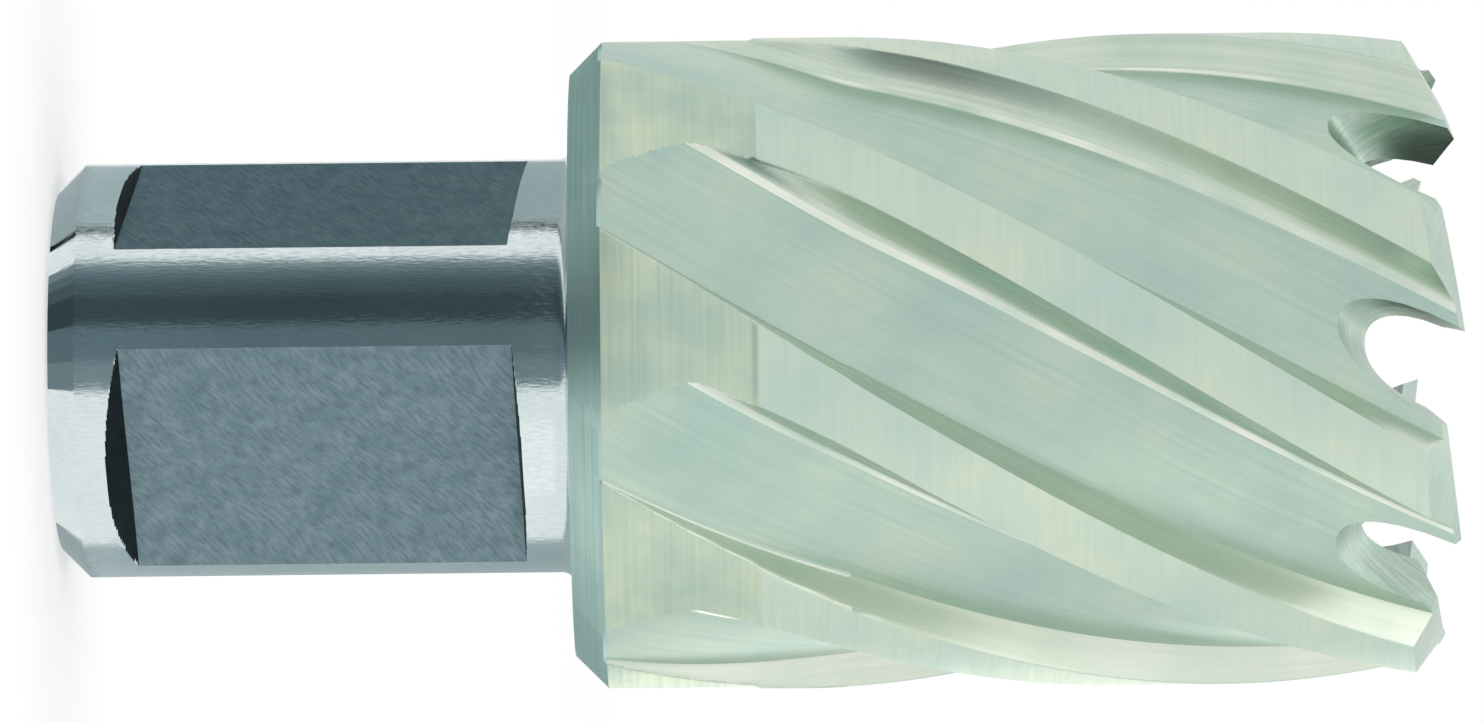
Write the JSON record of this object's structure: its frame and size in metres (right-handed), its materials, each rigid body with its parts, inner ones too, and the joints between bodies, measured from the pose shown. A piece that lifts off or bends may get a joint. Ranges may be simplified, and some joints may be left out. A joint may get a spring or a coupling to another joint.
{
  "type": "annular cutter",
  "caption": "Hollow fluted hole cutter with a toothed rim, helical lands, a chamfered collar, a round clamping shank with milled flats and a central pilot hole.",
  "frame": {"origin": "centre of the shank's end face, on the surface that the cutter stands on", "axes": "+Z along the axis from the shank to the tooth tips; the wide clamping flat faces 32 degrees from -Y towards +X"},
  "size_m": [0.03, 0.03, 0.0636],
  "materials": {
    "ground_steel": "satin"
  },
  "bodies": {
    "root": {"cutter": "ground_steel"}
  },
  "joints": []
}
